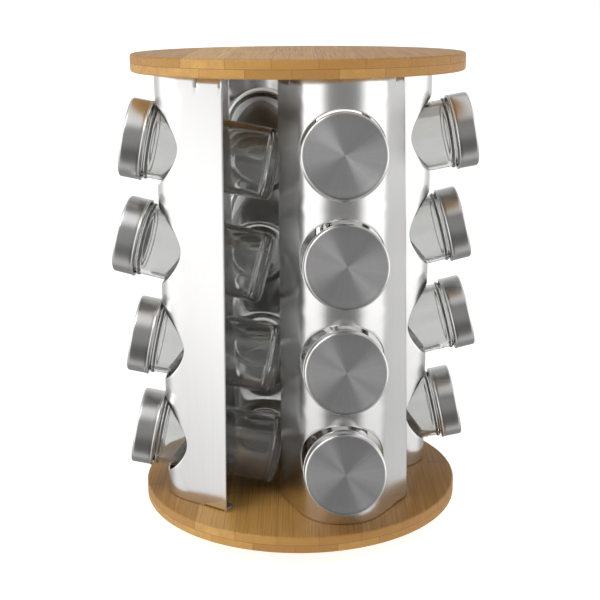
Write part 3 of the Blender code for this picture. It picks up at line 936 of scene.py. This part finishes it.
def lower_plate_profile(low, high, radius, ball_height):
    """Outline of the lower plate, whose inner part rises into the balls' inner race."""
    top = low + PLATE_THICKNESS
    half = PLATE_THICKNESS / 2
    lip = BALL_CIRCLE - GROOVE_LIP
    back = lip - RACE_WALL
    points = arc((PLATE_BORE + half, low + half), half, -180, -90, 4)
    points += arc((radius - half, low + half), half, -90, 90, 8)
    points += [(lip, top)] + race_groove(-1, ball_height)
    points += arc((lip - RACE_LIP_ROUND, high - RACE_LIP_ROUND), RACE_LIP_ROUND, 0, 90, 3)
    points += arc((back + RACE_BACK_ROUND, high - RACE_BACK_ROUND), RACE_BACK_ROUND, 90, 180, 4)
    points += arc((back - RACE_FILLET, top + RACE_FILLET), RACE_FILLET, 0, -90, 4)
    points += [(TURNTABLE_SCREW_CIRCLE, top), (PLATE_BORE + half, top)]
    return points


def upper_plate_profile(low, high, radius, ball_height):
    """Outline of the upper plate, with the balls' outer race hanging from it."""
    bottom = high - PLATE_THICKNESS
    half = PLATE_THICKNESS / 2
    lip = BALL_CIRCLE + GROOVE_LIP
    back = lip + RACE_WALL
    points = arc((PLATE_BORE + half, high - half), half, -180, -270, 4)
    points += arc((radius - half, high - half), half, 90, -90, 8)
    points += arc((back + RACE_FILLET, bottom - RACE_FILLET), RACE_FILLET, 90, 180, 4)
    points += arc((back - RACE_BACK_ROUND, low + RACE_BACK_ROUND), RACE_BACK_ROUND, 0, -90, 4)
    points += arc((lip + RACE_LIP_ROUND, low + RACE_LIP_ROUND), RACE_LIP_ROUND, -90, -180, 3)
    points += race_groove(1, ball_height) + [(lip, bottom)]
    points += [(TURNTABLE_SCREW_CIRCLE, bottom), (PLATE_BORE + half, bottom)]
    return points


def turntable_screw_places(height):
    """Places of the four screws that hold the turntable to the base, at one height."""
    places = []
    for number in range(TURNTABLE_SCREWS):
        angle = math.pi / 4 + number * 2 * math.pi / TURNTABLE_SCREWS
        places.append(Matrix.Rotation(angle, 4, "Z")
                      @ Matrix.Translation((TURNTABLE_SCREW_CIRCLE, 0, height)))
    return places


def make_lower_plate(finish, ball_height):
    """The lower plate, with holes for the feet's stems and for a tool."""
    low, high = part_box("turntable_lower_plate")
    profile = lower_plate_profile(low.z, high.z, high.x, ball_height)
    plate = link("turntable_lower_plate_pressing",
                 turned_mesh("lower_plate", profile, 192, closed=True, sharp=50), finish)
    sockets = bmesh.new()
    for number in (1, 2, 3):
        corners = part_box(f"rubber_foot_{number}")
        middle = (corners[0] + corners[1]) / 2
        add_peg(sockets, Matrix.Translation((middle.x, middle.y, low.z)), FOOT_HOLE_RADIUS, 4 * MM)
    for place in turntable_screw_places(low.z):
        add_peg(sockets, place, TOOL_HOLE_RADIUS, 4 * MM)
    cut(plate, sockets, sharp=50)
    present(plate, "stand", "zinc_steel", "turntable_lower_plate")


def make_upper_plate(finish, ball_height):
    """The upper plate, as wide as the lower one, with its screw holes."""
    low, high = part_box("turntable_upper_plate")
    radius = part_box("turntable_lower_plate")[1].x
    profile = upper_plate_profile(low.z, high.z, radius, ball_height)
    plate = link("turntable_upper_plate_pressing",
                 turned_mesh("upper_plate", profile, 192, closed=True, sharp=50), finish)
    holes = bmesh.new()
    for place in turntable_screw_places(high.z):
        add_peg(holes, place, SCREW_HOLE_RADIUS, 6 * MM)
    cut(plate, holes, sharp=50)
    present(plate, "carousel", "zinc_steel", "turntable_upper_plate")


def make_turntable_screws(finish):
    """Four screws that hold the turntable's upper plate to the base, up through the plate."""
    rim = 0.4 * MM
    profile = [(0, -1.5 * MM), (1.4 * MM, -1.4 * MM), (2.3 * MM, -1.1 * MM),
               (PLATE_SCREW_HEAD_RADIUS, -rim), (PLATE_SCREW_HEAD_RADIUS, 0.0), (SCREW_SHANK, 0.0)]
    shared = make_screw(finish, profile, "plate_screw")
    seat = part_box("turntable_upper_plate")[1].z - PLATE_THICKNESS - 0.05 * MM
    for number, place in enumerate(turntable_screw_places(seat), start=1):
        piece = link(f"turntable_screw_{number}", shared.data, finish)
        piece.matrix_world = place
        present(piece, "carousel", "zinc_steel")
    bpy.data.objects.remove(shared, do_unlink=True)


def balls_middle():
    """Height of the balls' centres."""
    low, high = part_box("ball_ring")
    return (low.z + high.z) / 2


def make_ball_ring(finish):
    """Nine steel balls held apart by a slim ring."""
    middle = balls_middle()
    profile = arc((BALL_CIRCLE, middle), CAGE_RADIUS, 0, 330, 11)
    ring = link("ball_ring_cage", turned_mesh("ball_ring_cage", profile, 144, closed=True), finish)
    balls = bmesh.new()
    for number in range(BALL_COUNT):
        place = (Matrix.Rotation(2 * math.pi * number / BALL_COUNT, 4, "Z")
                 @ Matrix.Translation((BALL_CIRCLE, 0, middle)))
        bmesh.ops.create_uvsphere(balls, u_segments=32, v_segments=16, radius=BALL_RADIUS, matrix=place)
    cut(ring, balls, "UNION")
    present(ring, "ball_ring", "zinc_steel", "ball_ring")


def make_feet(finish):
    """Rubber feet: a rounded pad with a hollow sole, and a stem through the plate."""
    for number in (1, 2, 3):
        node = f"rubber_foot_{number}"
        low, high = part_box(node)
        centre = (low + high) / 2
        radius = (high.x - low.x) / 2
        stem = high.z - low.z
        profile = [(0, 0.5 * MM), (2.6 * MM, 0.5 * MM), (3.2 * MM, 0.05 * MM), (3.4 * MM, 0)]
        profile += arc((radius - 0.5 * MM, 0.5 * MM), 0.5 * MM, -90, 0, 5)
        profile += arc((radius - 0.6 * MM, 1.8 * MM), 0.6 * MM, 0, 90, 5)
        profile += [(2.0 * MM, 2.4 * MM), (2.0 * MM, stem - 0.3 * MM), (1.7 * MM, stem), (0, stem)]
        foot = link(f"{node}_pad", turned_mesh(f"{node}_pad", profile, 48), finish)
        foot.location = (centre.x, centre.y, low.z)
        bpy.context.view_layer.update()
        present(foot, "stand", "dark_rubber", node)


# -------- studio

def make_floor():
    """A plain pale floor, far wider than the view."""
    bm = bmesh.new()
    bmesh.ops.create_circle(bm, cap_ends=True, segments=64, radius=30.0)
    shade = Shader("pale_floor")
    grain = shade.noise((40, 40, 40), 2.0)
    tone = shade.ramp(grain, ((0.3, (0.50, 0.50, 0.50)), (0.7, (0.52, 0.52, 0.52))))
    finish = shade.set(Base_Color=tone, Roughness=0.9, Specular_IOR_Level=0.0,
                       Emission_Color=WHITE, Emission_Strength=0.85)
    floor = link("floor", mesh_from(bm, "floor"), finish)
    floor.visible_glossy = False


def studio_light(nodes):
    """The studio's brightness by direction: full at both sides, about half behind the object, least
    in front of it. It fades downwards and high up, where a faint overhead light stays."""
    x, y, z = nodes.split(nodes.node("ShaderNodeTexCoord").outputs["Generated"])
    level_reach = nodes.math("SQRT", nodes.math("ADD", nodes.math("POWER", x, 2.0),
                                                nodes.math("POWER", y, 2.0)))
    frontness = nodes.math("DIVIDE", nodes.math("MULTIPLY", y, -1.0),
                           nodes.math("ADD", level_reach, 1e-4))

    def grey_ramp(value, stops):
        return nodes.ramp(nodes.remap(value, -1.0, 1.0, 0.0, 1.0),
                          [(place, (level, level, level)) for place, level in stops], "EASE")

    around = grey_ramp(frontness, (
        (0.0, 0.38), (0.19, 0.38), (0.36, 0.82), (0.74, 0.82), (0.80, 0.72), (0.92, 0.17), (1.0, 0.135)))
    upright = grey_ramp(z, (
        (0.0, 0.35), (0.25, 0.42), (0.33, 0.62), (0.38, 0.85), (0.44, 1.0), (0.68, 1.0), (0.80, 0.42),
        (1.0, 0.35)))
    overhead = grey_ramp(z, ((0.0, 0.0), (0.72, 0.0), (0.90, 0.36), (1.0, 0.42)))
    return nodes.mix(1.0, nodes.mix(1.0, around, upright, "MULTIPLY"), overhead, "LIGHTEN")


def make_world():
    """The studio lights the object, while the camera sees plain white behind it."""
    world = bpy.data.worlds.new("studio")
    bpy.context.scene.world = world
    world.use_nodes = True
    nodes = Nodes(world.node_tree)
    lighting = nodes.tree.nodes["Background"]
    nodes.feed(lighting.inputs["Color"], studio_light(nodes))
    nodes.feed(lighting.inputs["Strength"], 1.9)
    seen = nodes.node("ShaderNodeBackground", {"Color": WHITE})
    camera_ray = nodes.node("ShaderNodeLightPath").outputs["Is Camera Ray"]
    choose = nodes.node("ShaderNodeMixShader", {0: camera_ray, 1: lighting.outputs[0], 2: seen.outputs[0]})
    nodes.feed(nodes.tree.nodes["World Output"].inputs["Surface"], choose.outputs[0])


def make_key_light():
    """A large soft light high on the front left, for shape in the wood and the glass."""
    light = bpy.data.lights.new("soft_key", "AREA")
    light.shape = "DISK"
    light.size = 1.0
    light.energy = 9.0
    lamp = bpy.data.objects.new("soft_key", light)
    bpy.context.scene.collection.objects.link(lamp)
    lamp.location = (-0.9, -0.7, 1.5)
    aim = Vector((0, 0, 0.15)) - lamp.location
    lamp.rotation_euler = aim.to_track_quat("-Z", "Y").to_euler()
    lamp.visible_camera = False


def make_camera():
    """The camera stands ahead of the front column and looks down a little."""
    base_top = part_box("base_disc")[1].z
    pitch, yaw, roll = math.radians(14.745), math.radians(0.035), math.radians(-0.3277)
    ahead = Vector((math.sin(yaw) * math.cos(pitch), math.cos(yaw) * math.cos(pitch), -math.sin(pitch)))
    level = ahead.cross(Vector((0, 0, 1))).normalized()
    upright = level.cross(ahead)
    right = math.cos(roll) * level + math.sin(roll) * upright
    up = -math.sin(roll) * level + math.cos(roll) * upright
    data = bpy.data.cameras.new("camera")
    data.sensor_width = 36.0
    data.lens = 67.49
    data.clip_end = 100.0
    standing = Vector((0, -CAMERA_DISTANCE, base_top + CAMERA_RISE))
    camera = bpy.data.objects.new("camera", data)
    bpy.context.scene.collection.objects.link(camera)
    turned_axes = Matrix((right, up, -ahead)).transposed().to_4x4()
    camera.matrix_world = Matrix.Translation(standing) @ turned_axes
    bpy.context.scene.camera = camera


def main():
    bpy.context.scene.view_settings.view_transform = "Standard"
    bamboo = bamboo_finish()
    panel_steel = brushed_finish("panel_steel", (0.82, 0.815, 0.805), 0.22, 0.6, 0.0,
                                 (900, 900, 8), 0.004 * MM)
    lid_steel = brushed_finish("lid_steel_skirt", (0.76, 0.755, 0.74), 0.30, 0.3, 0.25,
                               (60, 60, 1600), 0.001 * MM)
    lid_face = lid_face_finish()
    glass = glass_finish()
    zinc = zinc_finish()
    rubber = rubber_finish("dark_rubber", (0.02, 0.02, 0.02), (0.045, 0.045, 0.045))
    seal = rubber_finish("seal", (0.16, 0.165, 0.155), (0.22, 0.225, 0.21))
    make_disc("base_disc", bamboo, "lower")
    make_disc("top_disc", bamboo, "upper")
    make_panels(panel_steel)
    make_panel_screws(zinc)
    make_jars(glass, lid_steel, lid_face, seal)
    make_lower_plate(zinc, balls_middle())
    make_upper_plate(zinc, balls_middle())
    make_turntable_screws(zinc)
    make_ball_ring(zinc)
    make_feet(rubber)
    make_floor()
    make_world()
    make_key_light()
    make_camera()


main()
